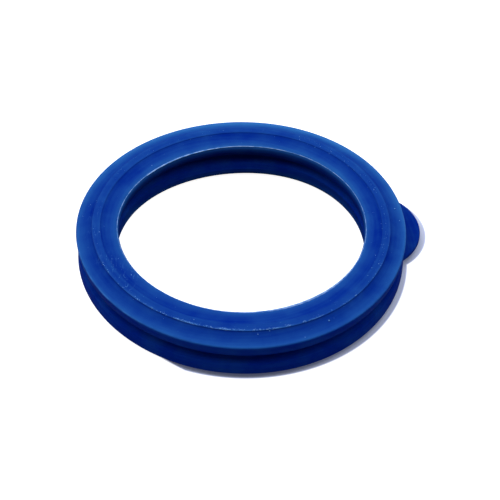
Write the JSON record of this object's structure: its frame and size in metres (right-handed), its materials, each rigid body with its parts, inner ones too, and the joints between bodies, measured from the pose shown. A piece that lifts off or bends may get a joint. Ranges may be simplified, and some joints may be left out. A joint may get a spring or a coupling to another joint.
{
  "type": "oil seal",
  "caption": "Moulded rubber ring seal with blunt sealing lips on the shaft side and on the housing side, a raised flat ridge on each end face and a rounded pull tab.",
  "frame": {"origin": "on the ring's axis, at the mid plane half way between the two end ridges", "axes": "+Z along the ring's axis, out of the upper end face; the pull tab is on the lower housing lip, 13.5 degrees from +X towards +Y"},
  "size_m": [0.0713, 0.0674, 0.0094],
  "materials": {
    "seal_rubber": "satin"
  },
  "bodies": {
    "root": {"seal_ring": "seal_rubber"}
  },
  "joints": []
}
